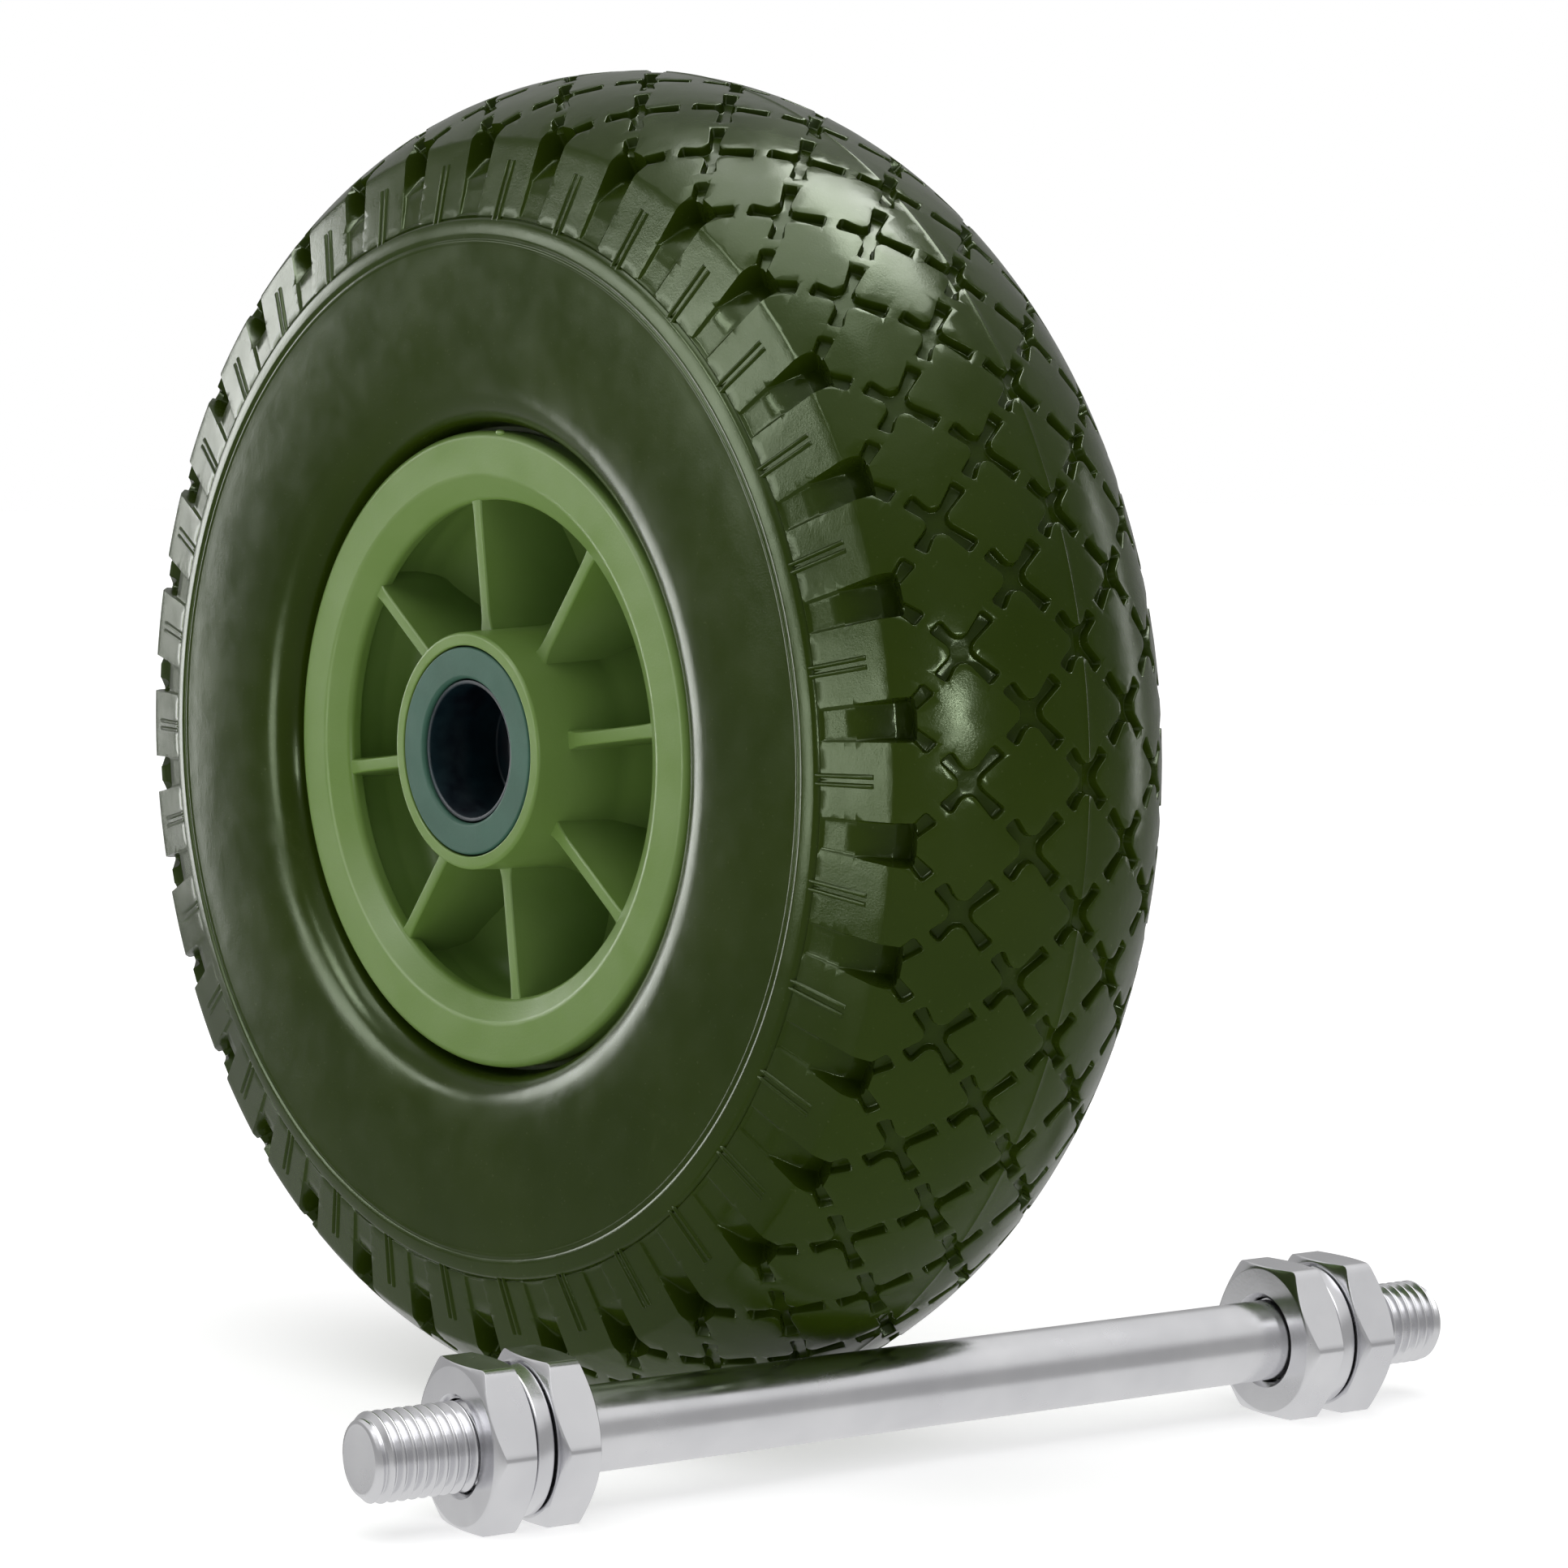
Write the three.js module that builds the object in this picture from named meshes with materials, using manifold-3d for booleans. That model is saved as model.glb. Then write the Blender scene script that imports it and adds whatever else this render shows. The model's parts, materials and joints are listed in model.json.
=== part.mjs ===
// A hand-truck wheel with its loose axle set: a solid foam tyre on a spoked plastic rim, standing
// upright, and a steel axle with its nuts and spring washers lying on the floor before the tread.
// Millimetres, +Z up, the wheel's axis along Y with its front face towards -Y.
import * as THREE from "three";
import { mergeVertices } from "three/addons/utils/BufferGeometryUtils.js";
import Module from "manifold-3d";

const wasm = await Module();
wasm.setup();

// Driving dimensions
const tyreRadius = 130;
const tyreHalfWidth = 38.1;
const crownRadius = 44.7;
const lugCount = 34;
const lugShare = 0.63;
const lugGapDepth = 6;
const treadFlat = 2;
const rimSeatRadius = 55;
const flangeRadius = 60.8;
const flangeHalfWidth = 33.5;
const flangeThickness = 5.6;
const spokeCount = 8;
const spokeThickness = 2.6;
const spokeHalfDepth = 30.5;
const spokeTurn = 7;
const hubRadius = 22.6;
const hubHalfLength = 37.6;
const bushRadius = 19.8;
const bushBore = 13.8;
const bushLength = 17;
const sleeveBore = 8.4;
const sleeveMouth = 12.7;
const sleeveEndInset = 0.8;
const webHalf = 6.9;
const fit = 0.3;

const axleLength = 234.4;
const rodRadius = 7.7;
const threadRadius = 8;
const threadLength = 37;
const threadChamfer = 1.6;
const nutAcrossFlats = 29;
const nutThickness = 8.4;
const washerRadius = 13.6;
const washerThickness = 3.6;
const washerCut = 2.2;
const endProtrusion = 18.6;
const axleTurn = -9;
const axleToWheel = 78.5;
const wheelBack = -9;

const degrees = Math.PI / 180;
const lugPitch = 360 / lugCount;
const lugEdge = (lugShare * lugPitch) / 2;
const lugFloorEdge = lugEdge + 0.8;

// A solid for joining and cutting, from a closed geometry and where it stands.
function solidOf(geometry, matrix = new THREE.Matrix4()) {
  const bare = geometry.clone().applyMatrix4(matrix);
  bare.deleteAttribute("normal");
  bare.deleteAttribute("uv");
  const merged = mergeVertices(bare, 1e-4);
  const vertProperties = new Float32Array(merged.attributes.position.array);
  const triVerts = new Uint32Array(merged.index.array);
  return new wasm.Manifold(new wasm.Mesh({ numProp: 3, vertProperties, triVerts }));
}

function geometryOf(solid) {
  const mesh = solid.getMesh();
  const geometry = new THREE.BufferGeometry();
  geometry.setAttribute("position", new THREE.BufferAttribute(mesh.vertProperties, 3));
  geometry.setIndex(new THREE.BufferAttribute(mesh.triVerts, 1));
  geometry.computeVertexNormals();
  return geometry;
}

// A ring about Y from a closed outline of [radius, along] points, listed so that it faces out.
function lathe(outline, segments) {
  const points = [...outline, outline[0]].map(([r, y]) => new THREE.Vector2(r, y));
  return new THREE.LatheGeometry(points, segments);
}

function tube(inner, outer, from, to, segments) {
  return lathe([[inner, to], [inner, from], [outer, from], [outer, to]], segments);
}

function rod(outline, segments) {
  const points = outline.map(([r, y]) => new THREE.Vector2(r, y));
  return new THREE.LatheGeometry(points, segments);
}

function mesh(name, geometry, colour, roughness, metalness = 0) {
  const material = new THREE.MeshStandardMaterial({ color: colour, roughness, metalness });
  const made = new THREE.Mesh(geometry, material);
  made.name = name;
  return made;
}

// Radius of the tread's round crown at a distance from its middle.
function crown(across) {
  return tyreRadius - crownRadius + Math.sqrt(crownRadius ** 2 - across ** 2);
}

// Half of the tyre's section, from the rim seat out to the middle of the tread. Each point is
// across the tyre, its radius, and how deep the gap between two lugs is there.
function tyreSection() {
  const w = tyreHalfWidth;
  const foot = flangeHalfWidth - flangeThickness - fit;
  return [
    [foot, rimSeatRadius + fit, 0],
    [foot, flangeRadius + 0.8, 0],
    [w - 5.6, flangeRadius + 1.6, 0],
    [w - 1.8, flangeRadius + 4.2, 0],
    [w, flangeRadius + 13, 0],
    [w, 90, 0],
    [w - 0.7, 97.4, 0],
    [w - 1.6, 100.8, 0.4],
    [w - 5.6, 117.6, lugGapDepth],
    [w - 8.9, crown(w - 8.9), lugGapDepth - 0.6],
    [w - 9.7, crown(w - 9.7), 0],
    [20, crown(20), 0],
    [10, crown(10), 0],
    [treadFlat, tyreRadius / Math.cos((lugPitch / 2 - lugFloorEdge) * degrees), 0],
  ];
}

// Columns round the tyre: both edges of each lug and both edges of the gap floor beside it. A gap
// is at the very bottom, so that a flat facet of the tread rests on the floor.
function tyreColumns() {
  const columns = [];
  for (let i = 0; i < lugCount; i++) {
    const middle = i * lugPitch;
    columns.push([middle - lugEdge, 0], [middle + lugEdge, 0]);
    columns.push([middle + lugFloorEdge, 1], [middle + lugPitch - lugFloorEdge, 1]);
  }
  return columns;
}

// The gap is cut square to the lug's face, which leans out from the side towards the tread.
function tyrePoint([across, radius, depth], side, [angle, inGap]) {
  const cut = inGap * depth;
  const r = radius - cut * 0.8;
  const turn = angle * degrees;
  const y = side * (across - cut * 0.45);
  return [r * Math.cos(turn), y, r * Math.sin(turn)];
}

function tyreGeometry() {
  const half = tyreSection();
  const rings = half.map((point) => [point, -1]);
  rings.push(...half.reverse().map((point) => [point, 1]));
  const columns = tyreColumns();
  const position = [];
  const index = [];
  for (const column of columns) {
    for (const [point, side] of rings) position.push(...tyrePoint(point, side, column));
  }
  const m = rings.length;
  for (let i = 0; i < columns.length; i++) {
    const next = (i + 1) % columns.length;
    for (let j = 0; j < m; j++) {
      const k = (j + 1) % m;
      index.push(i * m + j, i * m + k, next * m + k);
      index.push(i * m + j, next * m + k, next * m + j);
    }
  }
  const geometry = new THREE.BufferGeometry();
  geometry.setAttribute("position", new THREE.Float32BufferAttribute(position, 3));
  geometry.setIndex(index);
  geometry.computeVertexNormals();
  return geometry;
}

// Half of the rim's section, from the hub's bore over its face, the dished web, the undercut
// barrel, the flange and down to the tyre seat.
function rimSection() {
  const f = flangeHalfWidth;
  return [
    [bushRadius + fit, hubHalfLength],
    [hubRadius, hubHalfLength],
    [hubRadius + 1, 16],
    [hubRadius + 2.7, 10],
    [hubRadius + 5.4, webHalf],
    [hubRadius + 9.4, webHalf],
    [rimSeatRadius - 17, webHalf + 2.1],
    [rimSeatRadius - 10, webHalf + 5.3],
    [rimSeatRadius - 5.2, webHalf + 8.1],
    [rimSeatRadius - 3.6, webHalf + 12.1],
    [rimSeatRadius - 3.8, 26.6],
    [rimSeatRadius - 7.4, 27.8],
    [rimSeatRadius - 7.4, 30.4],
    [rimSeatRadius - 2.6, f],
    [flangeRadius - 1.4, f],
    [flangeRadius, f - 1.4],
    [flangeRadius, f - flangeThickness],
    [rimSeatRadius, f - flangeThickness],
  ];
}

function rimGeometry() {
  const front = rimSection().map(([r, y]) => [r, -y]);
  const back = rimSection().reverse();
  let rim = solidOf(lathe([...front, ...back], 56));
  const inner = hubRadius - 1;
  const outer = rimSeatRadius - 5;
  const plate = new THREE.BoxGeometry(outer - inner, 2 * spokeHalfDepth, spokeThickness);
  for (let i = 0; i < spokeCount; i++) {
    const turn = (spokeTurn + (360 / spokeCount) * i) * degrees;
    const middle = (inner + outer) / 2;
    const place = new THREE.Matrix4().makeRotationY(-turn);
    place.multiply(new THREE.Matrix4().makeTranslation(middle, 0, 0));
    rim = rim.add(solidOf(plate, place));
  }
  return geometryOf(rim);
}

// The dark sleeve through the hub: a thin liner in each bush, and a narrow bore between them.
function sleeveSection() {
  const end = hubHalfLength - sleeveEndInset;
  const step = hubHalfLength - bushLength;
  const outer = bushBore - fit;
  const front = [[sleeveBore, -step], [sleeveMouth, -step], [sleeveMouth, -end], [outer, -end]];
  const back = front.map(([r, y]) => [r, -y]).reverse();
  return [...front, ...back];
}

function wheel() {
  const group = new THREE.Group();
  group.position.set(0, wheelBack, tyreRadius);
  group.add(mesh("tyre", tyreGeometry(), 0x323d16, 0.55));
  group.add(mesh("rim", rimGeometry(), 0x789054, 0.5));
  const end = hubHalfLength;
  const bush = tube(bushBore, bushRadius, -end, -end + bushLength, 36);
  const rearBush = tube(bushBore, bushRadius, end - bushLength, end, 36);
  group.add(mesh("bush_front", bush, 0x55707a, 0.6));
  group.add(mesh("bush_rear", rearBush, 0x55707a, 0.6));
  group.add(mesh("axle_sleeve", lathe(sleeveSection(), 32), 0x0b1a20, 0.7));
  return group;
}

// The rod about Y: a plain middle, and a chamfered thread at each end.
function axleRod() {
  const end = axleLength / 2;
  const shoulder = end - threadLength;
  const tip = threadRadius - threadChamfer;
  const half = [[0, end], [tip, end], [threadRadius, end - threadChamfer]];
  half.push([threadRadius, shoulder], [rodRadius, shoulder - 0.6]);
  const back = half.map(([r, y]) => [r, -y]);
  return rod([...back, ...half.reverse()], 32);
}

// A hexagon nut about Y, resting on a flat, its corners taken off by a cone on both faces.
function nutGeometry() {
  const h = nutThickness / 2;
  const corner = nutAcrossFlats / Math.sqrt(3);
  const prism = new THREE.CylinderGeometry(corner, corner, nutThickness, 6);
  const turned = new THREE.Matrix4().makeRotationY(Math.PI / 6);
  const face = nutAcrossFlats / 2 - 0.4;
  const middle = corner + 0.2;
  const drop = (middle - face) * 0.55;
  const round = [[0, -h], [face, -h], [middle, -h + drop], [middle, h - drop], [face, h], [0, h]];
  const bore = new THREE.CylinderGeometry(threadRadius + fit, threadRadius + fit, 2 * nutThickness, 24);
  const solid = solidOf(prism, turned).intersect(solidOf(rod(round, 36))).subtract(solidOf(bore));
  return geometryOf(solid);
}

// A spring washer about Y: a ring with one cut through it at the top.
function washerGeometry() {
  const h = washerThickness / 2;
  const ring = solidOf(tube(threadRadius + 0.6, washerRadius, -h, h, 32));
  const blade = new THREE.BoxGeometry(washerCut, 2 * washerThickness, washerRadius);
  const place = new THREE.Matrix4().makeTranslation(0, 0, washerRadius - 1);
  return geometryOf(ring.subtract(solidOf(blade, place)));
}

function axleSet() {
  const group = new THREE.Group();
  group.position.set(axleToWheel - wheelBack * Math.tan(-axleTurn * degrees), 0, nutAcrossFlats / 2);
  group.rotation.z = axleTurn * degrees;
  group.add(mesh("axle_rod", axleRod(), 0xc4c4c6, 0.22, 1));
  const outer = axleLength / 2 - endProtrusion - nutThickness / 2;
  const washer = outer - nutThickness / 2 - fit - washerThickness / 2;
  const inner = washer - washerThickness / 2 - fit - nutThickness / 2;
  for (const [end, side] of [["near", -1], ["far", 1]]) {
    const stack = [
      mesh("inner_nut_" + end, nutGeometry(), 0xc2c3c5, 0.25, 1),
      mesh("spring_washer_" + end, washerGeometry(), 0xb4b5b8, 0.3, 1),
      mesh("outer_nut_" + end, nutGeometry(), 0xc2c3c5, 0.25, 1),
    ];
    stack.forEach((piece, i) => {
      piece.position.y = side * [inner, washer, outer][i];
      group.add(piece);
    });
  }
  return group;
}

const kit = new THREE.Group();
kit.add(wheel(), axleSet());

export default kit;
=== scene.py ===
import json
import math

import bmesh
import bpy
import numpy as np
from mathutils import Matrix, Vector
from mathutils.geometry import delaunay_2d_cdt


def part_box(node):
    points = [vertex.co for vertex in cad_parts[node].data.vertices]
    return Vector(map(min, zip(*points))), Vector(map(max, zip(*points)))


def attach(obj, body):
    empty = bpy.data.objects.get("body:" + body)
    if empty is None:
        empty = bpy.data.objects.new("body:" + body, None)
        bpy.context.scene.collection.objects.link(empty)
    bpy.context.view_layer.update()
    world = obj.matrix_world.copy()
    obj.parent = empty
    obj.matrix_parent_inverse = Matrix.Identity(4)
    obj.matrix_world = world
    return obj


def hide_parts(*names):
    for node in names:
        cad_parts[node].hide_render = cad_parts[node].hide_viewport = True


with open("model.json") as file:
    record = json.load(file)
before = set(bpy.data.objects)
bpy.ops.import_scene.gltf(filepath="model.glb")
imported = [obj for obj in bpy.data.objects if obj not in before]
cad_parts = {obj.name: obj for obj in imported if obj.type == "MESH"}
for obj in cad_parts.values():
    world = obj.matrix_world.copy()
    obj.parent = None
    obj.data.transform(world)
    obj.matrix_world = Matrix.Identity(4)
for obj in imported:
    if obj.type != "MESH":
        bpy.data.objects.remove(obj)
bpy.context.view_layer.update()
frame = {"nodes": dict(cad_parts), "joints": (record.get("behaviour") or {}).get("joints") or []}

mm = 0.001


# where things are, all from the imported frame
def middleOf(node):
    low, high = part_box(node)
    return (low + high) / 2


def sizeOf(node):
    low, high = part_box(node)
    return high - low


def jointAxis(name):
    return Vector(next(j["axis"] for j in frame["joints"] if j["name"] == name)).normalized()


wheelMiddle = middleOf("rim")
wheelRadius = sizeOf("tyre").z / 2 / mm
axleMiddle = middleOf("axle_rod")
axleAlong = jointAxis("far_washer_slide")
# the axle set is made along its own Y, like the wheel
axleTurn = Matrix.Rotation(math.atan2(axleAlong.y, axleAlong.x) - math.pi / 2, 4, "Z")
wheelPlace = Matrix.Translation(wheelMiddle)
axlePlace = Matrix.Translation(axleMiddle) @ axleTurn
print("frame read, wheel radius %.1f mm" % wheelRadius)


def makePiece(name, vertices, faces, place, merge=2e-6):
    mesh = bpy.data.meshes.new(name)
    mesh.from_pydata(np.asarray(vertices, float).tolist(), [], faces)
    build = bmesh.new()
    build.from_mesh(mesh)
    bmesh.ops.remove_doubles(build, verts=build.verts, dist=merge)
    bmesh.ops.dissolve_degenerate(build, edges=build.edges, dist=1e-7)
    bmesh.ops.recalc_face_normals(build, faces=build.faces)
    build.to_mesh(mesh)
    build.free()
    mesh.transform(place)
    mesh.polygons.foreach_set("use_smooth", [True] * len(mesh.polygons))
    piece = bpy.data.objects.new(name, mesh)
    bpy.context.scene.collection.objects.link(piece)
    return piece


def softenEdges(piece, sharpOver=50):
    piece.data.set_sharp_from_angle(angle=math.radians(sharpOver))
    weighted = piece.modifiers.new("weightedNormals", "WEIGHTED_NORMAL")
    weighted.keep_sharp = True


def finishPiece(piece, material, body, slotName, *nodes):
    piece.data.materials.clear()
    piece.data.materials.append(material)
    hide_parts(*nodes)
    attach(piece, body)
    print("made %s: %d faces" % (piece.name, len(piece.data.polygons)))


# a closed line of (x, y, radius) corners, each rounded by its radius
def rounded(corners, steps=4):
    made = []
    for i, (x, y, radius) in enumerate(corners):
        here = Vector((x, y))
        if radius <= 0:
            made.append((x, y))
            continue
        back = Vector(corners[i - 1][:2]) - here
        onward = Vector(corners[(i + 1) % len(corners)][:2]) - here
        room = 0.49 * min(back.length, onward.length)
        half = back.angle(onward) / 2
        reach = min(radius / math.tan(half), room)
        radius = reach * math.tan(half)
        back.normalize()
        onward.normalize()
        centre = here + (back + onward).normalized() * radius / math.sin(half)
        start = here + back * reach - centre
        sweep = start.angle_signed(here + onward * reach - centre)
        for k in range(steps + 1):
            turn = -sweep * k / steps
            c, s = math.cos(turn), math.sin(turn)
            made.append((centre.x + start.x * c - start.y * s, centre.y + start.x * s + start.y * c))
    return made


# faces of a grid that closes round: columns of points, each column open or closed
def gridFaces(columns, rows, closedColumn=True):
    faces = []
    for i in range(columns):
        a, b = i * rows, (i + 1) % columns * rows
        for j in range(rows if closedColumn else rows - 1):
            k = (j + 1) % rows
            faces.append((a + j, b + j, b + k, a + k))
    return faces


# a ring about Y from a closed outline of (radius, along) points in millimetres
def ringSolid(outline, columns):
    outline = np.array(outline)
    turns = np.arange(columns) * 2 * math.pi / columns
    vertices = np.empty((columns, len(outline), 3))
    vertices[..., 0] = np.cos(turns)[:, None] * outline[None, :, 0]
    vertices[..., 1] = outline[None, :, 1]
    vertices[..., 2] = np.sin(turns)[:, None] * outline[None, :, 0]
    return vertices.reshape(-1, 3) * mm, gridFaces(columns, len(outline))


def paint(red, green, blue):
    def linear(c):
        c /= 255
        return c / 12.92 if c <= 0.04045 else ((c + 0.055) / 1.055) ** 2.4
    return (linear(red), linear(green), linear(blue), 1)


class Finish:
    # a material with its shader, and short ways to add and join nodes
    def __init__(self, name):
        self.material = bpy.data.materials.new(name)
        self.material.use_nodes = True
        self.tree = self.material.node_tree
        self.shader = self.tree.nodes["Principled BSDF"]
        self.place = self.add("ShaderNodeTexCoord").outputs["Object"]

    def add(self, kind, **values):
        node = self.tree.nodes.new(kind)
        for key, value in values.items():
            setattr(node, key, value)
        return node

    def join(self, output, target):
        self.tree.links.new(output, target)

    def noise(self, scale, detail=4, roughness=0.5, distortion=0):
        node = self.add("ShaderNodeTexNoise")
        node.inputs["Scale"].default_value = scale
        node.inputs["Detail"].default_value = detail
        node.inputs["Roughness"].default_value = roughness
        node.inputs["Distortion"].default_value = distortion
        self.join(self.place, node.inputs["Vector"])
        return node.outputs["Fac"]

    def ramp(self, fac, *stops):
        node = self.add("ShaderNodeValToRGB")
        marks = node.color_ramp.elements
        while len(marks) < len(stops):
            marks.new(0.5)
        for mark, (position, colour) in zip(marks, stops):
            mark.position = position
            mark.color = colour
        self.join(fac, node.inputs["Fac"])
        return node.outputs["Color"]

    def mix(self, fac, first, second, blend="MIX"):
        node = self.add("ShaderNodeMix", data_type="RGBA", blend_type=blend)
        for value, socket in ((fac, 0), (first, 6), (second, 7)):
            if hasattr(value, "links"):
                self.join(value, node.inputs[socket])
            else:
                node.inputs[socket].default_value = value
        return node.outputs[2]

    def spread(self, fac, low, high, fromLow=0.3, fromHigh=0.7):
        node = self.add("ShaderNodeMapRange")
        node.inputs["From Min"].default_value = fromLow
        node.inputs["From Max"].default_value = fromHigh
        node.inputs["To Min"].default_value = low
        node.inputs["To Max"].default_value = high
        self.join(fac, node.inputs["Value"])
        return node.outputs["Result"]

    def bump(self, height, distance, strength=1, under=None):
        node = self.add("ShaderNodeBump")
        node.inputs["Distance"].default_value = distance
        node.inputs["Strength"].default_value = strength
        self.join(height, node.inputs["Height"])
        if under is not None:
            self.join(under, node.inputs["Normal"])
        self.join(node.outputs["Normal"], self.shader.inputs["Normal"])
        return node.outputs["Normal"]


foamFinish = {
    "colour": paint(43, 57, 8),
    "darker": paint(37, 51, 5),
    "scuff": paint(78, 88, 52),
    "roughness": 0.19,
    "specular": 0.14,
    "sheenTint": (0.82, 1, 0.68, 1),
    # noise scales: a larger number is a finer pattern
    "toneScale": 28,
    "speckScale": 1500,
    "rubScale": 34,
    "roughScale": 110,
    "grain": (2400, 0.00008, 0.22),  # scale, height in metres, strength
    "swell": (120, 0.0005, 0.18),
}


def foamSkin():
    f = Finish("tyreFoamSkin")
    patches = f.noise(foamFinish["toneScale"], 4, 0.5)
    tone = f.ramp(patches, (0.3, foamFinish["darker"]), (0.7, foamFinish["colour"]))
    # fine pale specks and a few rubbed patches
    specks = f.spread(f.noise(foamFinish["speckScale"], 2, 0.5), 0, 0.35, 0.69, 0.76)
    rubbed = f.spread(f.noise(foamFinish["rubScale"], 7, 0.7, 0.8), 0, 0.22, 0.64, 0.78)
    colour = f.mix(specks, f.mix(rubbed, tone, foamFinish["scuff"]), foamFinish["scuff"])
    f.join(colour, f.shader.inputs["Base Color"])
    middle = foamFinish["roughness"]
    rough = f.spread(f.noise(foamFinish["roughScale"], 5, 0.6), middle - 0.03, middle + 0.06)
    f.join(rough, f.shader.inputs["Roughness"])
    scale, height, strength = foamFinish["grain"]
    grain = f.bump(f.noise(scale, 3, 0.6), height, strength)
    scale, height, strength = foamFinish["swell"]
    f.bump(f.noise(scale, 3, 0.45), height, strength, grain)
    f.shader.inputs["Specular IOR Level"].default_value = foamFinish["specular"]
    f.shader.inputs["Specular Tint"].default_value = foamFinish["sheenTint"]
    return f.material


rimFinish = {
    "colour": paint(114, 141, 76),
    "darker": paint(103, 133, 60),
    "roughness": 0.34,
    "specular": 0.16,
    "toneScale": 36,
    "roughScale": 120,
    "grain": (1900, 0.00005, 0.4),
    "swell": (70, 0.0004, 0.2),
}


def mouldedRim():
    f = Finish("mouldedRimPlastic")
    patches = f.noise(rimFinish["toneScale"], 5, 0.55, 0.4)
    tone = f.ramp(patches, (0.3, rimFinish["darker"]), (0.7, rimFinish["colour"]))
    f.join(tone, f.shader.inputs["Base Color"])
    middle = rimFinish["roughness"]
    rough = f.spread(f.noise(rimFinish["roughScale"], 4), middle - 0.05, middle + 0.08)
    f.join(rough, f.shader.inputs["Roughness"])
    scale, height, strength = rimFinish["grain"]
    grain = f.bump(f.noise(scale, 2), height, strength)
    scale, height, strength = rimFinish["swell"]
    f.bump(f.noise(scale, 3), height, strength, grain)
    f.shader.inputs["Specular IOR Level"].default_value = rimFinish["specular"]
    return f.material


bushFinish = {
    "colour": paint(58, 96, 80),
    "darker": paint(50, 86, 70),
    "roughness": 0.5,
    "specular": 0.12,
    "toneScale": 90,
    "roughScale": 200,
    "grain": (1400, 0.00006, 0.5),
}


def greyBush():
    f = Finish("greyBushPlastic")
    patches = f.noise(bushFinish["toneScale"], 4)
    tone = f.ramp(patches, (0.3, bushFinish["darker"]), (0.7, bushFinish["colour"]))
    f.join(tone, f.shader.inputs["Base Color"])
    middle = bushFinish["roughness"]
    rough = f.spread(f.noise(bushFinish["roughScale"], 3), middle - 0.06, middle + 0.08)
    f.join(rough, f.shader.inputs["Roughness"])
    scale, height, strength = bushFinish["grain"]
    f.bump(f.noise(scale, 2), height, strength)
    f.shader.inputs["Specular IOR Level"].default_value = bushFinish["specular"]
    return f.material


sleeveFinish = {
    "colour": paint(5, 34, 40),
    "darker": paint(6, 12, 22),
    "roughness": 0.5,
    "specular": 0.25,
    "toneScale": 120,
    "roughScale": 240,
    "grain": (900, 0.0001, 0.4),
}


def darkSleeve():
    f = Finish("darkSleevePlastic")
    patches = f.noise(sleeveFinish["toneScale"], 3)
    tone = f.ramp(patches, (0.35, sleeveFinish["darker"]), (0.65, sleeveFinish["colour"]))
    f.join(tone, f.shader.inputs["Base Color"])
    middle = sleeveFinish["roughness"]
    rough = f.spread(f.noise(sleeveFinish["roughScale"], 3), middle - 0.1, middle + 0.1)
    f.join(rough, f.shader.inputs["Roughness"])
    scale, height, strength = sleeveFinish["grain"]
    f.bump(f.noise(scale, 3), height, strength)
    f.shader.inputs["Specular IOR Level"].default_value = sleeveFinish["specular"]
    return f.material


zincFinish = {
    "colour": paint(232, 232, 234),
    "darker": paint(220, 220, 223),
    "roughness": 0.2,
    "toneScale": 60,
    "roughScale": 90,
    "grain": (1600, 0.00002, 0.4),
}


def brightZinc():
    f = Finish("brightZincSteel")
    patches = f.noise(zincFinish["toneScale"], 4, 0.5)
    tone = f.ramp(patches, (0.3, zincFinish["darker"]), (0.7, zincFinish["colour"]))
    f.join(tone, f.shader.inputs["Base Color"])
    middle = zincFinish["roughness"]
    rough = f.spread(f.noise(zincFinish["roughScale"], 5, 0.6), middle - 0.04, middle + 0.1)
    f.join(rough, f.shader.inputs["Roughness"])
    f.shader.inputs["Metallic"].default_value = 1
    scale, height, strength = zincFinish["grain"]
    f.bump(f.noise(scale, 3), height, strength)
    return f.material


skin = foamSkin()
plastic = mouldedRim()
bushGrey = greyBush()
sleeveDark = darkSleeve()
zinc = brightZinc()
print("finishes ready")


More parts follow.
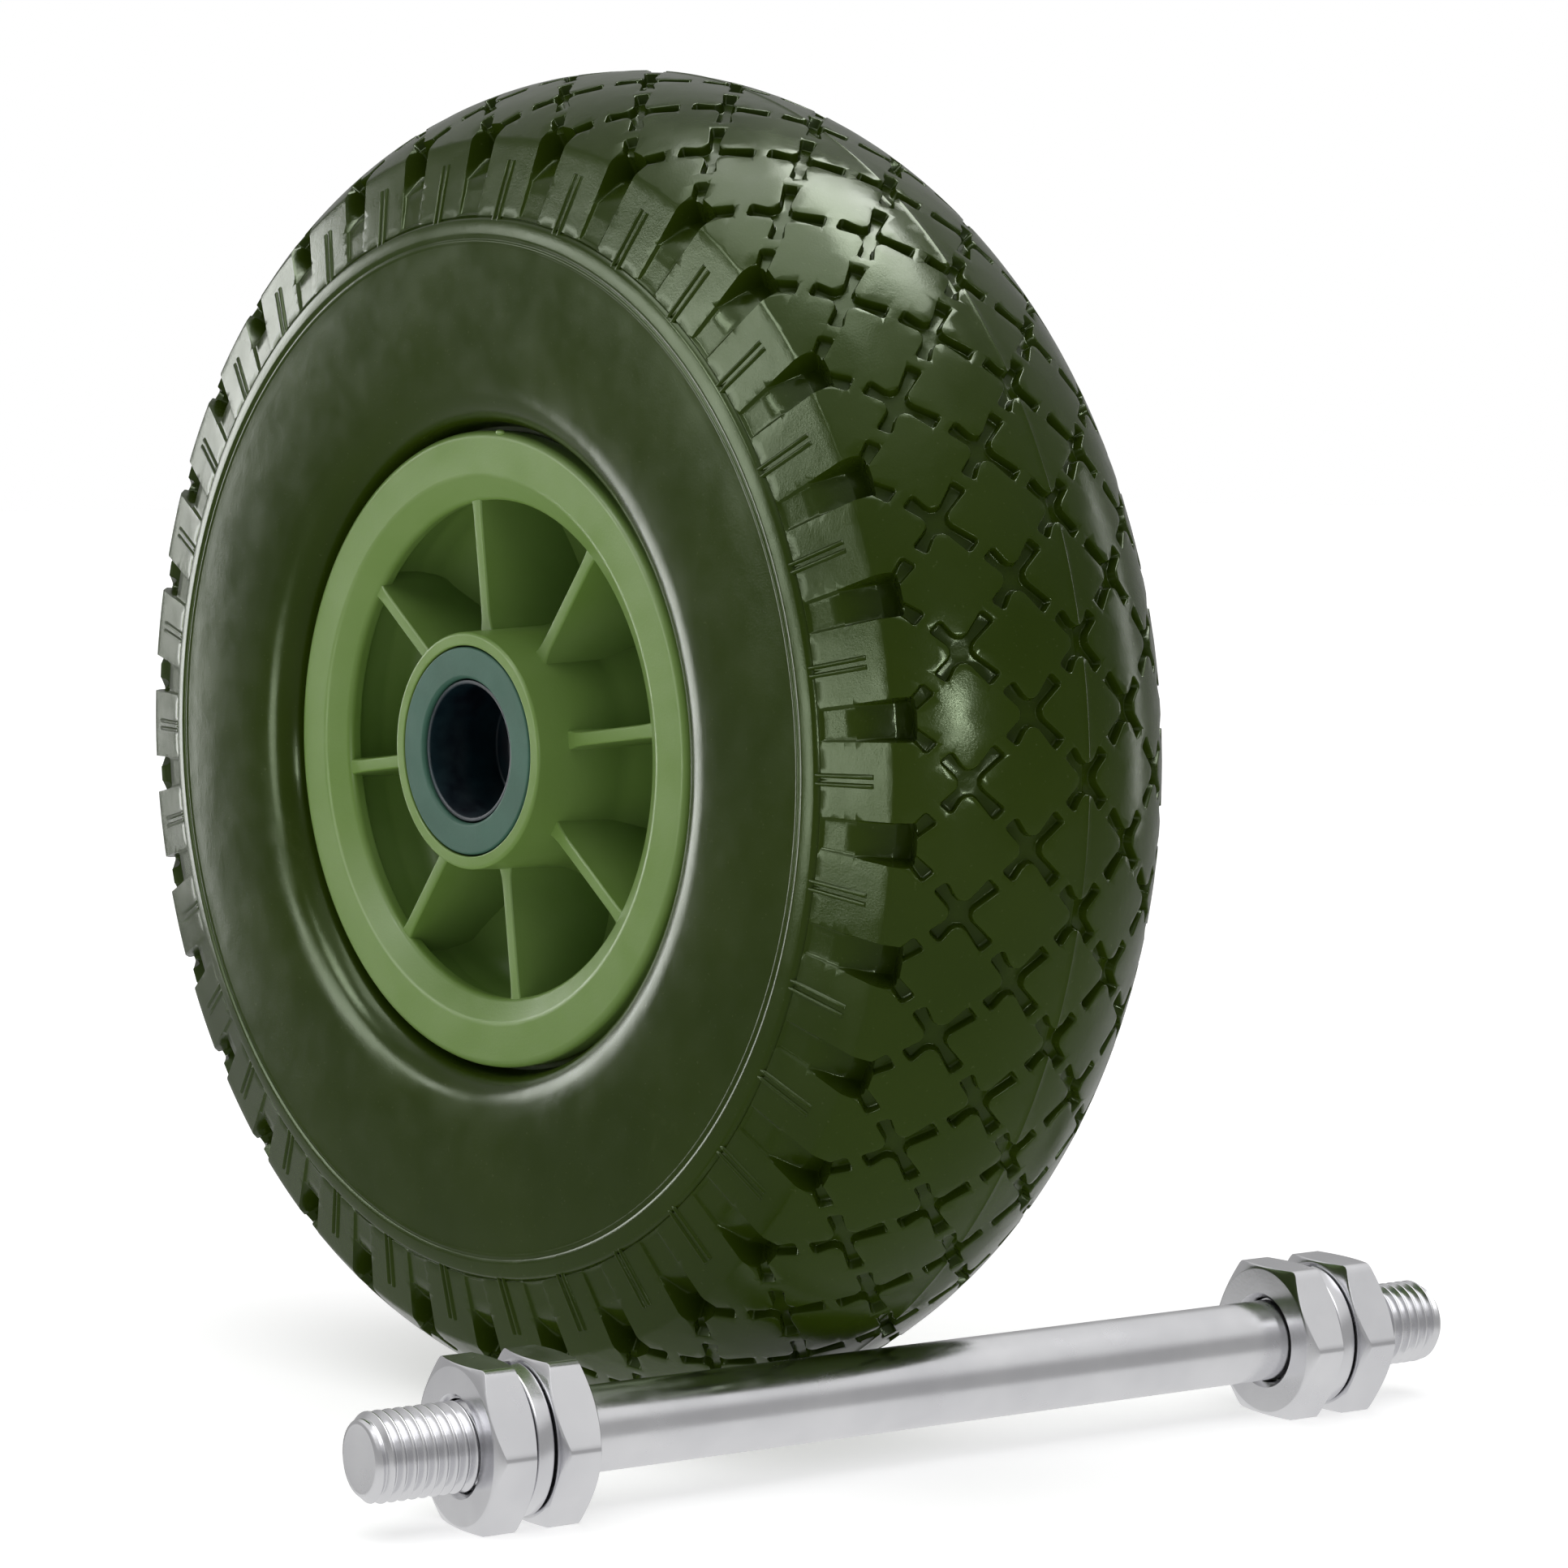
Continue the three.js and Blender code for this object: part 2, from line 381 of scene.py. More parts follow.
# the lengths of the pieces are in millimetres
tyre = {
    "lugs": 34,
    "treadRadius": 128,  # where the pattern has its true length round the wheel
    "crownRadius": 44.7,
    "rowStep": 11.85,
    "cornerAcross": 32.6,
    "lugFoot": (36.5, 101.2),
    "cornerRound": 0.9,
    # the cut into the lugs leaves the crown's direction at a distance, over a length, for the face's
    "turnStart": 31.5,
    "turnLength": 15,
    "faceFall": (16.4, 3.9),
    "lugShare": 0.63,
    "gapEnd": 32.3,
    "gapTaper": 0.84,
    "gapRound": (0.9, 0.5),
    "inwardArm": 8.3,
    "outwardArm": 6.5,
    "outwardLean": 5,
    "armHalf": 1.05,
    "armEndHalf": 1.75,
    "armEndRound": 0.8,
    "armInnerRound": 1.5,
    "armSpan": 16.4,  # from one cross to its slanting neighbour
    "cornerArm": (3.4, 8.1, 1.35, 1.75),  # start, end and half widths of the arms beside a gap
    # how deep each recess is at a distance in from its edge
    "recessWall": [(0, 0), (0.2, 0.2), (0.42, 1.7), (0.66, 1.9)],
    "gapWall": [(0, 0), (0.14, 0.2), (0.5, 0.86), (0.85, 1.0)],
    "ribWall": [(0, 0), (0.22, -0.3), (0.42, -0.42)],
    # gap depth by distance round the section from the middle of the tread
    "gapDepth": [
        (30, 6.2), (34, 5.9), (36, 5.2), (38, 4.15), (40, 3.0), (42, 1.85),
        (44.3, 0.55), (52.6, 0.4), (53.4, 0),
    ],
    "faceLines": (44.3, 46.8, 49.8),  # extra mesh lines across the lugs' faces
    "ribs": (0.4, 1.46, 40.8, 53.0),  # near and far edge, low and high end
    "seam": [(0, 0.2), (0.14, 0.2), (0.4, 0)],
    # mesh spacing: between free points, along the edges, round the gaps and along the ribs
    "gridStep": 2.6,
    "edgeStep": 2.4,
    "gapStep": 2.2,
    "ribStep": 4,
    "lineParts": 12,
    "edgeRoom": 0.9,
    "lineRoom": 0.95,
    "sideColumns": 8,
    # sidewall from the lugs' foot in to the rim seat, as (across, radius)
    "side": [
        (36.3, 100.95), (36.55, 100.75), (37.0, 100.5), (37.25, 100.05), (37.5, 98.9),
        (37.72, 97.8), (37.72, 97.3), (37.5, 96.95), (37.45, 96.75), (37.6, 96.5),
        (37.68, 96.2), (37.6, 95.9), (37.55, 95.6), (37.7, 93.5), (37.9, 89.5),
        (38.02, 85), (38.05, 80), (37.98, 75.5), (37.75, 71.2), (37.3, 68.3),
        (36.35, 65.8), (35.0, 64.1), (33.6, 63.1), (32.2, 62.5), (30.2, 62.2), (27.6, 61.6), (27.6, 55.3),
    ],
}
pitchAngle = 2 * math.pi / tyre["lugs"]
pitch = pitchAngle * tyre["treadRadius"]
seamLines = [level for level, _ in tyre["seam"] if level > 0]


# crown arc and straight lug face, by distance round the section
def sectionPoint(s):
    crown = tyre["crownRadius"]
    corner = crown * math.asin(tyre["cornerAcross"] / crown)
    s = np.abs(s)
    arc = np.minimum(s, corner) / crown
    across = crown * np.sin(arc)
    radius = wheelRadius - crown * (1 - np.cos(arc))
    top = np.array([tyre["cornerAcross"], wheelRadius - crown * (1 - math.cos(corner / crown))])
    face = np.array(tyre["lugFoot"]) - top
    length = np.linalg.norm(face)
    past = np.clip((s - corner) / length, 0, None)
    return across + face[0] * past, radius + face[1] * past, corner, length


cornerArc, faceLength = sectionPoint(np.array([0.0]))[2:]
lugFootArc = cornerArc + faceLength


def roundedSection(s):
    # the corner is eased by averaging a little to each side of it
    ease = tyre["cornerRound"]
    a0, r0 = sectionPoint(s - ease / 2)[:2]
    a1, r1 = sectionPoint(s + ease / 2)[:2]
    near = np.abs(np.abs(s) - cornerArc) < ease / 2
    a, r = sectionPoint(s)[:2]
    return np.where(near, (a0 + a1) / 2, a), np.where(near, (r0 + r1) / 2, r)


def inwardNormal(s):
    # turns smoothly from square to the crown to square to the lug's face
    s = np.abs(s)
    crownTurn = np.minimum(s, tyre["turnStart"]) / tyre["crownRadius"]
    faceTurn = math.atan2(*tyre["faceFall"])
    t = np.clip((s - tyre["turnStart"]) / tyre["turnLength"], 0, 1)
    t = t * t * (3 - 2 * t)
    turn = crownTurn * (1 - t) + faceTurn * t
    return -np.sin(turn), -np.cos(turn)


# a closed line moved inward by inset
def inwardOffset(outline, inset):
    points = np.array(outline)
    ahead = np.roll(points, -1, 0) - points
    ahead /= np.linalg.norm(ahead, axis=1)[:, None]
    behind = np.roll(ahead, 1, 0)
    area = np.sum(points[:, 0] * np.roll(points[:, 1], -1) - np.roll(points[:, 0], -1) * points[:, 1])
    side = 1 if area > 0 else -1
    normal = side * np.stack([-(ahead + behind)[:, 1], (ahead + behind)[:, 0]], 1)
    normal /= np.linalg.norm(normal, axis=1)[:, None]
    miter = np.clip(np.sum(normal * side * np.stack([-ahead[:, 1], ahead[:, 0]], 1), 1), 0.5, 1)
    return points + normal * (inset / miter)[:, None]


# distance inside a closed line, negative outside
def insideBy(points, outline):
    a = np.array(outline)
    b = np.roll(a, -1, 0)
    p = points[:, None, :]
    edge = b - a
    t = np.clip(np.sum((p - a) * edge, 2) / np.maximum(np.sum(edge * edge, 1), 1e-12), 0, 1)
    gap = np.linalg.norm(p - (a + t[..., None] * edge), axis=2).min(1)
    crosses = (a[:, 1] > p[..., 1]) != (b[:, 1] > p[..., 1])
    slope = np.where(np.abs(edge[:, 1]) < 1e-12, 1e-12, edge[:, 1])
    at = a[:, 0] + (p[..., 1] - a[:, 1]) * edge[:, 0] / slope
    inside = np.sum(crosses & (p[..., 0] < at), 1) % 2 == 1
    return np.where(inside, gap, -gap)


# one cross-shaped recess, its arms flaring towards their ends
def crossOutline(centre, arms):
    corners = []
    inner, end = tyre["armHalf"], tyre["armEndHalf"]
    endRound, innerRound = tyre["armEndRound"], tyre["armInnerRound"]
    for k, (length, lean) in enumerate(arms):
        turn = math.pi / 4 + k * math.pi / 2 + math.radians(lean)
        along = Vector((math.cos(turn), math.sin(turn)))
        across = Vector((-math.sin(turn), math.cos(turn)))
        for at, side, ease in ((length, -end, endRound), (length, end, endRound), (inner, inner, innerRound)):
            point = along * at + across * side
            corners.append((centre[0] + point.x, centre[1] + point.y, ease))
    return rounded(corners, 3)


# every recess, gap and rib of one repeat, as (outline, wall, kind)
def tyreShapes():
    shapes = []
    out, inn = tyre["outwardArm"], tyre["inwardArm"]
    # arms in order: up-right, up-left, down-left, down-right, where up is +across
    for row in (-2, -1, 0, 1, 2):
        lean = tyre["outwardLean"]
        upLean, downLean = lean if row >= 0 else 0, lean if row <= 0 else 0
        upper, lower = out if row >= 0 else inn, out if row <= 0 else inn
        centre = (pitch if row % 2 == 0 else pitch / 2, row * tyre["rowStep"])
        arms = ((upper, -upLean), (upper, upLean), (lower, -downLean), (lower, downLean))
        shapes.append((crossOutline(centre, arms), tyre["recessWall"], "recess"))
    half = (1 - tyre["lugShare"]) / 2 * pitch
    for side in (-1, 1):
        low, high = tyre["gapEnd"], lugFootArc - 0.05
        foot = half * tyre["gapTaper"]
        topRound, footRound = tyre["gapRound"]
        box = [
            (-half, low, topRound), (half, low, topRound),
            (foot, high, footRound), (-foot, high, footRound),
        ]
        outline = rounded([(pitch / 2 + u, side * v, e) for u, v, e in box], 3)
        shapes.append((spaced(outline, tyre["gapStep"]), tyre["gapWall"], "gap"))
        # the inward arms of the row that the gap takes the place of
        middle = Vector((pitch / 2, 3 * tyre["rowStep"]))
        start, end, startHalf, endHalf = tyre["cornerArm"]
        endRound = tyre["armEndRound"]
        arm = (
            (start, -startHalf, 0), (start, startHalf, 0),
            (end, endHalf, endRound), (end, -endHalf, endRound),
        )
        for lean in (-1, 1):
            along, across = Vector((lean, -1)).normalized(), Vector((1, lean)).normalized()
            corners = []
            for at, wide, ease in arm:
                point = middle + along * at + across * wide
                corners.append((point.x, side * point.y, ease))
            shapes.append((rounded(corners, 3), tyre["recessWall"], "recess"))
        near, far, low, high = tyre["ribs"]
        for start, end in ((near, far), (pitch - far, pitch - near)):
            outline = [(start, side * low), (end, side * low), (end, side * high), (start, side * high)]
            shapes.append((spaced(outline, tyre["ribStep"]), tyre["ribWall"], "rib"))
    return shapes


# a closed line with points added, about one step apart
def spaced(outline, step):
    made = []
    for i, here in enumerate(outline):
        there = outline[(i + 1) % len(outline)]
        parts = max(1, round(math.dist(here, there) / step))
        made += [tuple(np.array(here) + (np.array(there) - here) * k / parts) for k in range(parts)]
    return made


# the left edge of one repeat, wandering through the pads and across the bridges between recesses
def repeatEdge():
    share = (tyre["outwardArm"] + 1) / tyre["armSpan"]
    row = tyre["rowStep"]
    up = [
        (0.5, 0), (share / 2, share), (0, 1), (0.5 - share / 2, 1 + share),
        (0.5, 2), (share / 2, 2 + share), (0, 3),
    ]
    line = [(u * pitch, v * row) for u, v in up] + [(0, cornerArc), (0, lugFootArc)]
    line = [(u, -v) for u, v in line[:0:-1]] + line
    made = [line[0]]
    for here, there in zip(line, line[1:]):
        parts = max(1, round(math.dist(here, there) / tyre["edgeStep"]))
        made += [tuple(np.array(here) + (np.array(there) - here) * (k + 1) / parts) for k in range(parts)]
    made += [(0.5 * pitch - level, side * level) for level in seamLines for side in (-1, 1)]
    made += [(0, side * level) for level in tyre["faceLines"] for side in (-1, 1)]
    return sorted(made, key=lambda p: p[1])


# how far in each point of the repeat lies, less the ribs and the seam that stand out
def depthAt(points, shapes):
    depth = np.zeros(len(points))
    height = np.zeros(len(points))
    gapScale = np.interp(np.abs(points[:, 1]), *zip(*tyre["gapDepth"]))
    for outline, wall, kind in shapes:
        inset, level = zip(*wall)
        inside = insideBy(points, outline)
        here = np.where(inside >= -1e-4, np.interp(inside, inset, level), 0)
        if kind == "rib":
            height = np.maximum(height, -here)
        elif kind == "gap":
            depth = np.maximum(depth, here * gapScale)
        else:
            depth = np.maximum(depth, here)
    seamAt, seamHigh = zip(*tyre["seam"])
    return depth - height - np.interp(np.abs(points[:, 1]), seamAt, seamHigh)


# one repeat of the tread laid flat: its points, its faces and the depth at each point
def treadRepeat():
    points, edges = [], []

    def addLine(line, closed=True):
        start = len(points)
        points.extend(tuple(p) for p in line)
        edges.extend((start + i, start + i + 1) for i in range(len(line) - 1))
        if closed:
            edges.append((start + len(line) - 1, start))

    left = repeatEdge()
    columns = tyre["sideColumns"]
    foot = [(pitch * k / columns, lugFootArc) for k in range(1, columns)]
    right = [(u + pitch, v) for u, v in left]
    outer = left + foot + right[::-1] + [(u, -v) for u, v in foot[::-1]]
    addLine(outer)
    shapes = tyreShapes()
    for outline, wall, _ in shapes:
        for inset, _ in wall:
            addLine(inwardOffset(outline, inset) if inset else outline)
    # the eased corner of each lug, the lines on its face, and the seam
    ease, parts = tyre["cornerRound"] / 2, tyre["lineParts"]
    lines = [cornerArc - ease, cornerArc, cornerArc + ease, *tyre["faceLines"]]
    for v in [side * level for level in lines for side in (-1, 1)]:
        addLine([(pitch * k / parts, v) for k in range(parts + 1)], False)
    for v in [-level for level in reversed(seamLines)] + seamLines:
        start = next(p for p in left if abs(p[1] - v) < 1e-9)
        addLine([(start[0] + pitch * k / parts, v) for k in range(parts + 1)], False)
    # even points over the pads, kept off the lines
    step = tyre["gridStep"]
    fixed = np.array(points)
    spare = []
    rows = int(2 * lugFootArc / step)
    for j in range(1, rows):
        v = -lugFootArc + 2 * lugFootArc * j / rows
        # wide enough for the repeat's wandering right edge
        for i in range(-2, int(1.6 * pitch / step) + 2):
            spare.append((step * (i + 0.5 * (j % 2)), v))
    spare = np.array(spare)
    within = insideBy(spare, outer) > tyre["edgeRoom"]
    clear = np.min(np.linalg.norm(spare[:, None] - fixed[None], axis=2), 1) > tyre["lineRoom"]
    points.extend(map(tuple, spare[within & clear]))
    border = [list(range(len(outer)))]
    made, _, faces, *_ = delaunay_2d_cdt([Vector(p) for p in points], edges, border, 1, 1e-5)
    made = np.array([tuple(p) for p in made])
    return made, [tuple(f) for f in faces], depthAt(made, shapes)


def makeTyre():
    flat, cell, depth = treadRepeat()
    s = flat[:, 1]
    across, radius = roundedSection(s)
    inAcross, inRadius = inwardNormal(s)
    across = (across + inAcross * depth) * np.sign(s + 1e-12)
    radius = radius + inRadius * depth
    vertices, faces = [], []
    columns = tyre["sideColumns"]
    start = 0
    for k in range(tyre["lugs"]):
        turn = flat[:, 0] / tyre["treadRadius"] + k * pitchAngle
        vertices.append(np.stack([radius * np.cos(turn), across, radius * np.sin(turn)], 1))
        faces += [tuple(i + start for i in f) for f in cell]
        start += len(flat)
    # sidewalls and the seat on the rim, as one strip from the front lugs' foot to the rear ones'
    half = np.array([tyre["lugFoot"], *tyre["side"]])
    sideways, outward = np.vstack([half * (-1, 1), half[::-1]]).T
    around = tyre["lugs"] * columns
    for k in range(around):
        turn = k * pitchAngle / columns
        vertices.append(np.stack([outward * math.cos(turn), sideways, outward * math.sin(turn)], 1))
    faces += [tuple(i + start for i in f) for f in gridFaces(around, len(sideways), False)]
    piece = makePiece("foam_tyre", np.vstack(vertices) * mm, faces, wheelPlace, 2e-5)
    softenEdges(piece, 55)
    finishPiece(piece, skin, "wheel", "tyre_foam", "tyre")


makeTyre()


rimSize = {
    "flange": 60.8,
    "face": 33.5,
    "flangeBack": 27.9,
    "seat": 55,
    "plates": 8,
    "plateTurn": 7,
    "plateThick": 2.6,
    "plateHalf": 30.5,
    "plateFlare": 0.6,
    "hub": 22.6,
    "hubEnd": 37.6,
    "hubBore": 20.1,
    # small moulding nub on the flange's edge: where it is, and half its size each way
    "nub": {"turn": 85, "radius": 60.6, "along": -32.9, "high": 0.6, "deep": 0.7, "wide": 1.3},
    "nubRings": 9,
    "nubColumns": 16,
}


# half the rim's section as (radius, across, rounding) from the hub's bore to the tyre's seat, and its mirror
def rimOutline():
    hub, hubEnd, seat = rimSize["hub"], rimSize["hubEnd"], rimSize["seat"]
    flange, back = rimSize["flange"], rimSize["flangeBack"]
    half = [
        (rimSize["hubBore"], hubEnd, 0.3),
        (hub, hubEnd, 0.7),
        (hub + 0.9, 17, 10),
        (hub + 5, 6.9, 7),
        (hub + 10, 6.9, 10),
        (seat - 17, 9, 10),
        (seat - 5.4, 14.6, 4),
        (seat - 3.6, 20, 4),
        (seat - 3.6, 27.3, 0.4),
        (47.9, 27.9, 0.35),
        (47.5, 30.5, 1.6),
        (52.3, 33.5, 2.2),
        (flange, rimSize["face"], 1.5),
        (flange, back, 0.8),
        (seat, back, 0.4),
    ]
    corners = [(r, -y, e) for r, y, e in half] + [(r, y, e) for r, y, e in half[::-1]]
    return rounded(corners, 5)


# one plate between hub and barrel, seen along the wheel's axis, wider where it meets them
def plateOutline():
    # the plate runs into the hub and the barrel, and its flare starts at their surfaces
    inner, outer = rimSize["hub"] - 1.2, 51.6
    near, far = rimSize["hub"] + 0.1, 49.2
    half, flare = rimSize["plateThick"] / 2, rimSize["plateFlare"]
    upper = []
    parts = 20
    for k in range(parts + 1):
        r = inner + (outer - inner) * k / parts
        edge = min(max(r - near, 0), max(far - r, 0))
        upper.append((r, half + flare * math.exp(-((edge / 1.5) ** 1.3))))
    return upper


# a small closed ellipsoid on the flange, as rings along its depth
def nubMesh():
    nub, rings, columns = rimSize["nub"], rimSize["nubRings"], rimSize["nubColumns"]
    turn = math.radians(nub["turn"])
    c, s = math.cos(turn), math.sin(turn)
    vertices = []
    for j in range(rings):
        lean = math.pi * (j + 0.5) / rings
        for i in range(columns):
            angle = 2 * math.pi * i / columns
            r = nub["radius"] + nub["high"] * math.sin(lean) * math.cos(angle)
            w = nub["wide"] * math.sin(lean) * math.sin(angle)
            vertices.append((r * c - w * s, nub["along"] - nub["deep"] * math.cos(lean), r * s + w * c))
    faces = []
    for j in range(rings - 1):
        a, b = j * columns, (j + 1) * columns
        for i in range(columns):
            n = (i + 1) % columns
            faces.append((a + i, a + n, b + n, b + i))
    faces.append(tuple(range(columns)))
    faces.append(tuple(range((rings - 1) * columns, rings * columns)))
    return np.array(vertices) * mm, faces


def makeRim():
    vertices, faces = ringSolid(rimOutline(), 192)
    allVertices = [vertices]
    start = len(vertices)
    upper = plateOutline()
    top = rimSize["plateHalf"]
    # the plates' edges are eased, and their middles a little thicker
    tucks = (
        (-top, 0.45), (-top + 0.14, 0.16), (-top + 0.45, 0), (0, -0.25),
        (top - 0.45, 0), (top - 0.14, 0.16), (top, 0.45),
    )
    levels = []
    for y, tuck in tucks:
        loop = [(r, y, w - tuck) for r, w in upper] + [(r, y, -(w - tuck)) for r, w in upper[::-1]]
        levels.append(loop)
    count = len(levels[0])
    for k in range(rimSize["plates"]):
        turn = math.radians(rimSize["plateTurn"] + 360 / rimSize["plates"] * k)
        c, s = math.cos(turn), math.sin(turn)
        made = [(r * c - w * s, y, r * s + w * c) for loop in levels for r, y, w in loop]
        allVertices.append(np.array(made) * mm)
        for j in range(len(levels) - 1):
            a, b = start + j * count, start + (j + 1) * count
            for i in range(count):
                n = (i + 1) % count
                faces.append((a + i, a + n, b + n, b + i))
        for j in (0, len(levels) - 1):
            for i in range(count // 2 - 1):
                base = start + j * count
                faces.append((base + i, base + i + 1, base + count - 2 - i, base + count - 1 - i))
        start += len(made)
    vertices, nubFaces = nubMesh()
    allVertices.append(vertices)
    faces += [tuple(start + i for i in face) for face in nubFaces]
    piece = makePiece("moulded_rim", np.vstack(allVertices), faces, wheelPlace)
    softenEdges(piece, 40)
    finishPiece(piece, plastic, "wheel", "rim_plastic", "rim")


makeRim()


bush = {"end": 37.6, "length": 17, "outer": 19.8, "bore": 13.8}
sleeve = {"half": 36.8, "step": 20.6, "outer": 13.5, "mouth": 12.7, "bore": 8.4}


def makeBushes():
    for name, side in (("front", -1), ("rear", 1)):
        end, back = bush["end"], bush["end"] - bush["length"]
        corners = [
            (bush["bore"], side * end, 0.7),
            (bush["outer"], side * end, 0.45),
            (bush["outer"], side * back, 0.3),
            (bush["bore"], side * back, 0.3),
        ]
        piece = makePiece("hub_bush_" + name, *ringSolid(rounded(corners, 4), 128), wheelPlace)
        softenEdges(piece, 40)
        finishPiece(piece, bushGrey, "wheel", "bush_plastic", "bush_" + name)
    # a thin liner through each bush, then a narrow bore
    front = [
        (sleeve["bore"], -sleeve["step"], 0.8), (sleeve["mouth"], -sleeve["step"], 0.5),
        (sleeve["mouth"], -sleeve["half"], 0.3), (sleeve["outer"], -sleeve["half"], 0.15),
    ]
    corners = front + [(r, -y, e) for r, y, e in front[::-1]]
    piece = makePiece("hub_sleeve", *ringSolid(rounded(corners, 4), 96), wheelPlace)
    softenEdges(piece, 40)
    finishPiece(piece, sleeveDark, "wheel", "sleeve_plastic", "axle_sleeve")


makeBushes()


axle = {
    "rod": 7.7,
    "crest": 8.0,
    "root": 6.85,
    "threadPitch": 2.0,
    "threadLength": 37,
    "runOut": 1.5,  # pitches over which the thread reaches its full depth
    "chamfer": 1.7,
    "chamferSlope": 0.9,
    "endRings": ((5.9, 0), (5.6, 0.05), (1.2, 0.12)),  # radius and depth of the end's dish
    "columns": 64,
}


def axleHalf():
    # along its own length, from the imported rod's corners
    node = frame["nodes"]["axle_rod"]
    along = [(Vector(v.co) - axleMiddle).dot(axleAlong) for v in node.data.vertices]
    return max(along) / mm


def makeRod():
    half = axleHalf()
    columns, step = axle["columns"], axle["threadPitch"]
    rod, crest, root = axle["rod"], axle["crest"], axle["root"]
    # one pitch of thread, as share of the pitch and radius
    profile = [
        (0.0, crest - 0.05), (0.06, crest), (0.14, crest), (0.2, crest - 0.07),
        (0.52, root + 0.05), (0.6, root), (0.68, root + 0.05),
    ]
    m = len(profile)
    start = half - axle["threadLength"]
    turns = int(axle["threadLength"] / step) + 2
    vertices, faces = [], []
    for side in (-1, 1):
        base = len(vertices)
        rows = turns * m
        for i in range(columns):
            angle = 2 * math.pi * i / columns
            for j in range(rows):
                share, radius = profile[j % m]
                y = start - step + step * (j // m + share + i / columns)
                y = min(max(y, start), half)
                limit = crest - max(0, y - (half - axle["chamfer"])) * axle["chamferSlope"]
                shallow = rod - (rod - root) * min(1, max(0, (y - start) / (axle["runOut"] * step)))
                radius = min(max(radius, shallow), limit)
                vertices.append((radius * math.cos(angle), side * y, radius * math.sin(angle)))
        for i in range(columns):
            n = (i + 1) % columns
            slip = m if n == 0 else 0
            for j in range(rows - 1):
                a, b = base + i * rows + j, base + n * rows + j + slip
                if j + 1 + slip < rows:
                    faces.append((a, b, b + 1, a + 1))
        # end face, a little dished towards its middle
        edge = []
        for i in range(columns):
            column = range(base + i * rows, base + (i + 1) * rows)
            edge.append(next(k for k in column if abs(abs(vertices[k][1]) - half) < 1e-9))
        loops = [edge]
        for radius, depth in axle["endRings"]:
            loops.append(list(range(len(vertices), len(vertices) + columns)))
            y = half - depth
            for i in range(columns):
                angle = 2 * math.pi * i / columns
                vertices.append((radius * math.cos(angle), side * y, radius * math.sin(angle)))
        for first, second in zip(loops, loops[1:]):
            for i in range(columns):
                n = (i + 1) % columns
                faces.append((first[i], first[n], second[n], second[i]))
        faces.append(tuple(loops[-1]))
        # plain rod up to the thread
        loop = []
        for i in range(columns):
            loop.append(len(vertices))
            angle = 2 * math.pi * i / columns
            vertices.append((rod * math.cos(angle), side * start, rod * math.sin(angle)))
        if side < 0:
            backLoop = loop
    for i in range(columns):
        n = (i + 1) % columns
        faces.append((backLoop[i], backLoop[n], loop[n], loop[i]))
    piece = makePiece("threaded_axle", np.array(vertices) * mm, faces, axlePlace, 3e-6)
    softenEdges(piece, 50)
    finishPiece(piece, zinc, "axle", "zinc_steel", "axle_rod")


nut = {
    "flats": 29,
    "cornerEase": 0.22,
    "thick": 8.4,
    "bore": 8.3,
    "boreChamfer": 0.9,
    "faceRadius": 14.1,
    "slope": 0.5,
    "columns": 144,
}


def hexRadius(angle):
    # distance to the hexagon's side, with its corners eased; a flat faces down
    sixth = math.pi / 3
    off = (angle + math.pi / 2 + sixth / 2) % sixth - sixth / 2
    reach = nut["flats"] / 2 / math.cos(off)
    return min(reach, nut["flats"] / math.sqrt(3) - nut["cornerEase"])


def nutMesh():
    h, face = nut["thick"] / 2, nut["faceRadius"]
    bore, chamfer = nut["bore"], nut["boreChamfer"]
    vertices = []
    columns = nut["columns"]
    for i in range(columns):
        angle = 2 * math.pi * i / columns
        reach = hexRadius(angle)
        # from the bore over the round face and its cone to the flat, then the same backwards
        drop = max(0, reach - face) * nut["slope"]
        rows = [(bore, -h + chamfer), (bore + chamfer, -h), (face - 0.25, -h), (face, -h + 0.05)]
        rows += [(face + (reach - face) * 0.5, -h + drop * 0.5), (reach - 0.12, -h + drop - 0.02)]
        rows += [(reach, -h + drop + 0.12), (reach, 0)]
        rows += [(r, -y) for r, y in rows[-2::-1]]
        for r, y in rows:
            vertices.append((r * math.cos(angle), y, r * math.sin(angle)))
    return np.array(vertices) * mm, gridFaces(columns, len(rows))


washer = {
    "inner": 8.7,
    "outer": 13.6,
    "thick": 3.3,
    "rounds": (0.3, 0.45),  # of the inner and the outer corners
    "rise": 0.45,
    "cutHalf": 1.1,
    "cutLean": 0.035,
    "columns": 96,
}


def washerMesh():
    columns, inner, outer = washer["columns"], washer["inner"], washer["outer"]
    half = washer["thick"] / 2
    innerRound, outerRound = washer["rounds"]
    gap = washer["cutHalf"] / ((inner + outer) / 2)
    corners = [
        (inner, -half, innerRound), (outer, -half, outerRound),
        (outer, half, outerRound), (inner, half, innerRound),
    ]
    section = rounded(corners, 3)
    vertices = []
    for i in range(columns + 1):
        t = i / columns
        lift = washer["rise"] * (t - 0.5)
        for r, y in section:
            # the cut leans, so its turn changes through the thickness
            lean = gap + washer["cutLean"] * y
            angle = math.pi / 2 + lean + (2 * math.pi - 2 * gap) * t
            vertices.append((r * math.cos(angle), y + lift, r * math.sin(angle)))
    rows = len(section)
    faces = [
        (i * rows + j, (i + 1) * rows + j, (i + 1) * rows + (j + 1) % rows, i * rows + (j + 1) % rows)
        for i in range(columns) for j in range(rows)
    ]
    faces.append(tuple(range(rows)))
    faces.append(tuple(range(columns * rows, (columns + 1) * rows)))
    return np.array(vertices) * mm, faces


